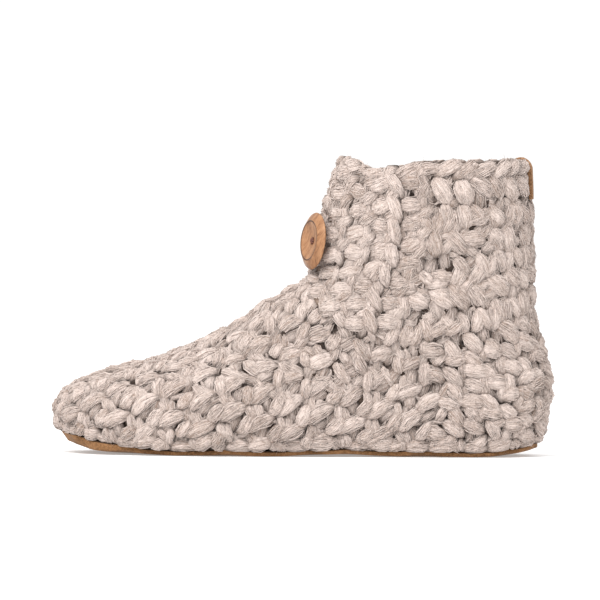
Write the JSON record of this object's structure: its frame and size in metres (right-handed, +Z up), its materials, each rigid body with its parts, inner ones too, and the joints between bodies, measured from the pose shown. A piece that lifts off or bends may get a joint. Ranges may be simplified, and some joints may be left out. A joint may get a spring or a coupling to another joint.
{
  "type": "wool slipper",
  "caption": "Ankle-high crocheted wool slipper boot for the left foot, with a thin suede sole, a wooden button on a front band and a suede heel tab; worn indoors to keep a foot warm.",
  "frame": {"origin": "on the floor, under the middle of the slipper's overall length and width", "axes": "+X to the toe, +Y to the wearer's left, which is the outer side, +Z up"},
  "size_m": [0.2674, 0.104, 0.1575],
  "materials": {
    "wool": "chunky crocheted oatmeal wool, soft and slightly fuzzy",
    "suede": "tan-brown suede with a short nap",
    "felt": "matted wool felt",
    "wood": "oiled light wood, satin",
    "cord": "waxed brown thread"
  },
  "bodies": {
    "root": {"outsole": "suede", "insole": "felt", "upper": "wool", "button_band": "wool", "button": "wood", "button_knot": "cord", "heel_tab": "suede"}
  },
  "joints": []
}
